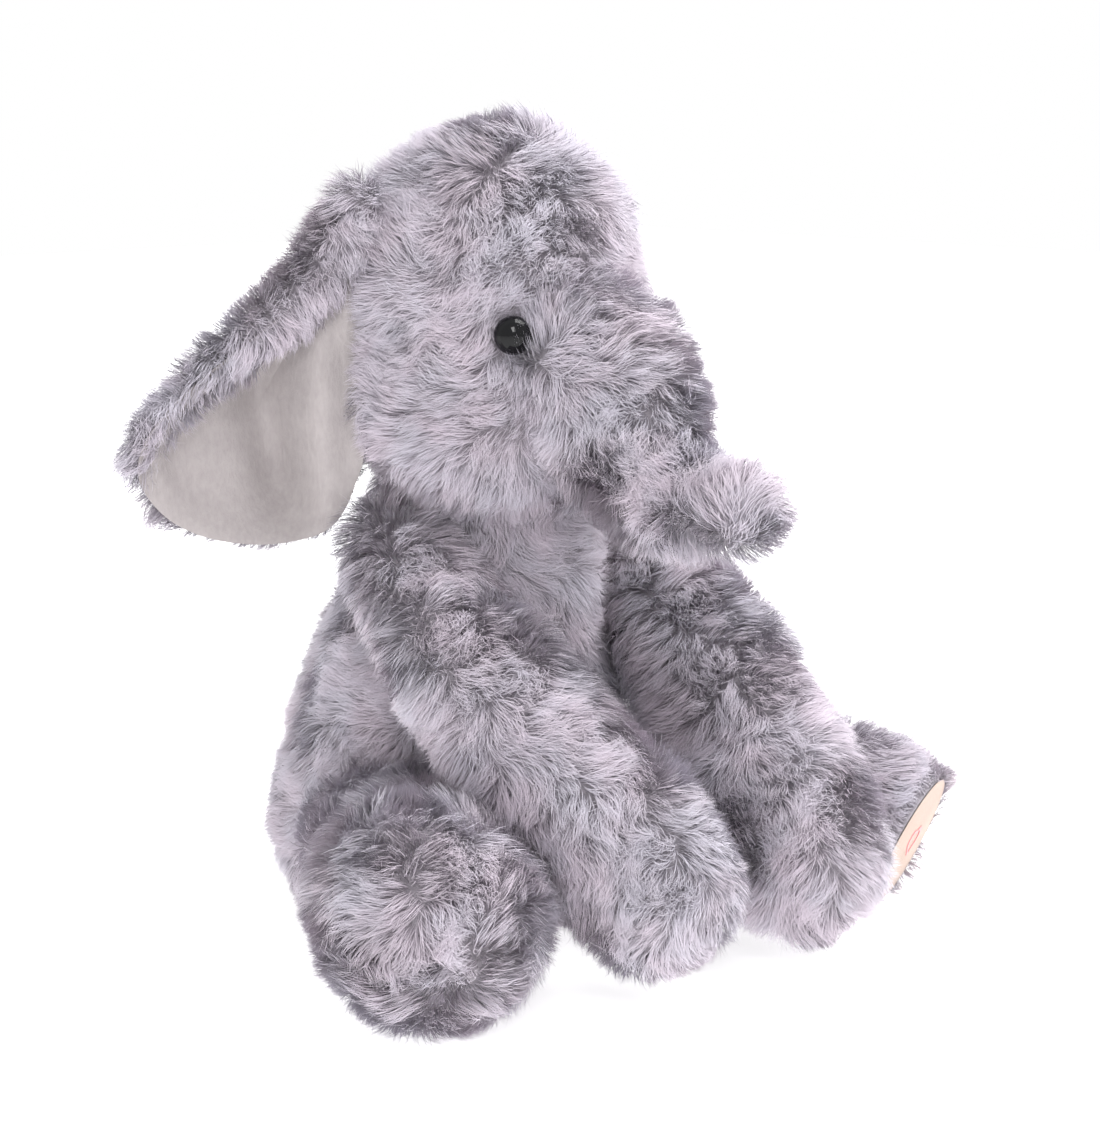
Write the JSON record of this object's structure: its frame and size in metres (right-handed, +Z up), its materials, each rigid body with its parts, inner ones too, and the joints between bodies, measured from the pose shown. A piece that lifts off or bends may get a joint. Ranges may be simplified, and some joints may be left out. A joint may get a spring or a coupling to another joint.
{
  "type": "stuffed elephant",
  "caption": "Seated plush elephant with a raised trunk, lined ears, glossy eyes, a suede sole and soft jointed head, limbs, ears and tail.",
  "frame": {"origin": "on the flat underside of the seat, on the centre plane under the front of the body", "axes": "+Z up, -Y the way the elephant faces, +X its own left"},
  "size_m": [0.2453, 0.2264, 0.262],
  "materials": {
    "long_pile": "long-pile plush fabric, matt with a silky sheen",
    "lining_plush": "short white plush, matt",
    "suede": "brushed synthetic suede, matt",
    "thread": "rayon embroidery thread, soft sheen",
    "seam_thread": "polyester sewing thread",
    "eye_plastic": "polished black plastic",
    "washer_plastic": "moulded white plastic",
    "filling": "loose polyester fibre filling",
    "pouch_cloth": "thin woven cotton",
    "pellets": "loose plastic pellets",
    "label_tape": "woven satin tape, blank"
  },
  "bodies": {
    "torso": {"torso_belly": "long_pile", "torso_back_left": "long_pile", "torso_back_right": "long_pile", "torso_seat": "long_pile", "torso_stuffing": "filling", "pellet_pouch": "pouch_cloth", "seat_pellets": "pellets", "closing_stitches": "seam_thread", "care_label": "label_tape"},
    "neck": {"neck_sleeve": "long_pile", "neck_stuffing": "filling"},
    "head": {"head_side_left": "long_pile", "head_side_right": "long_pile", "head_gusset": "long_pile", "head_chin": "long_pile", "head_stuffing": "filling", "eye_left": "eye_plastic", "eye_right": "eye_plastic", "eye_washer_left": "washer_plastic", "eye_washer_right": "washer_plastic"},
    "trunk_base": {"trunk_base_upper": "long_pile", "trunk_base_lower": "long_pile", "trunk_base_stuffing": "filling"},
    "trunk_tip": {"trunk_tip_upper": "long_pile", "trunk_tip_lower": "long_pile", "trunk_tip_stuffing": "filling"},
    "ear_left": {"ear_left_outer": "long_pile", "ear_left_lining": "lining_plush"},
    "ear_right": {"ear_right_outer": "long_pile", "ear_right_lining": "lining_plush"},
    "arm_left": {"arm_left_outer": "long_pile", "arm_left_inner": "long_pile", "arm_left_stuffing": "filling"},
    "arm_right": {"arm_right_outer": "long_pile", "arm_right_inner": "long_pile", "arm_right_stuffing": "filling"},
    "leg_left": {"leg_left_upper": "long_pile", "leg_left_lower": "long_pile", "leg_left_sole": "suede", "sole_embroidery": "thread", "leg_left_stuffing": "filling"},
    "leg_right": {"leg_right_upper": "long_pile", "leg_right_lower": "long_pile", "leg_right_sole": "long_pile", "leg_right_stuffing": "filling"},
    "tail": {"tail_sleeve": "long_pile", "tail_tuft": "long_pile"}
  },
  "joints": [
    {"name": "neck_turn", "type": "hinge", "parent": "torso", "child": "neck", "pos_m": [0, -0.011, 0.152], "axis": [0, 0, 1], "range_deg": [-20, 20], "stiffness_Nm_per_rad": 0.6},
    {"name": "head_nod", "type": "hinge", "parent": "neck", "child": "head", "pos_m": [0, -0.011, 0.152], "axis": [-1, 0, 0], "range_deg": [-8, 14], "stiffness_Nm_per_rad": 1.5},
    {"name": "trunk_bend", "type": "hinge", "parent": "head", "child": "trunk_base", "pos_m": [0, -0.058, 0.183], "axis": [-1, 0, 0], "range_deg": [0, 30], "stiffness_Nm_per_rad": 0.4},
    {"name": "trunk_curl", "type": "hinge", "parent": "trunk_base", "child": "trunk_tip", "pos_m": [0, -0.094, 0.151], "axis": [-1, 0, 0], "range_deg": [-15, 25], "stiffness_Nm_per_rad": 0.2},
    {"name": "ear_left_flap", "type": "hinge", "parent": "head", "child": "ear_left", "pos_m": [0.049, -0.002, 0.184], "axis": [0.1564, 0, -0.9877], "range_deg": [-35, 60], "stiffness_Nm_per_rad": 0.03},
    {"name": "ear_right_flap", "type": "hinge", "parent": "head", "child": "ear_right", "pos_m": [-0.049, -0.002, 0.184], "axis": [0.1564, 0, 0.9877], "range_deg": [-35, 60], "stiffness_Nm_per_rad": 0.03},
    {"name": "arm_left_swing", "type": "hinge", "parent": "torso", "child": "arm_left", "pos_m": [0.0475, -0.016, 0.128], "axis": [-1, 0, 0], "range_deg": [0, 22], "stiffness_Nm_per_rad": 0.1},
    {"name": "arm_right_swing", "type": "hinge", "parent": "torso", "child": "arm_right", "pos_m": [-0.0475, -0.016, 0.128], "axis": [-1, 0, 0], "range_deg": [0, 22], "stiffness_Nm_per_rad": 0.1},
    {"name": "leg_left_splay", "type": "hinge", "parent": "torso", "child": "leg_left", "pos_m": [0.042, -0.015, 0.032], "axis": [0, 0, 1], "range_deg": [0, 20], "stiffness_Nm_per_rad": 0.3},
    {"name": "leg_right_splay", "type": "hinge", "parent": "torso", "child": "leg_right", "pos_m": [-0.042, -0.015, 0.032], "axis": [0, 0, -1], "range_deg": [0, 20], "stiffness_Nm_per_rad": 0.3},
    {"name": "tail_swing", "type": "hinge", "parent": "torso", "child": "tail", "pos_m": [0, 0.062, 0.046], "axis": [0, 1, 0], "range_deg": [-35, 35], "stiffness_Nm_per_rad": 0.01}
  ]
}
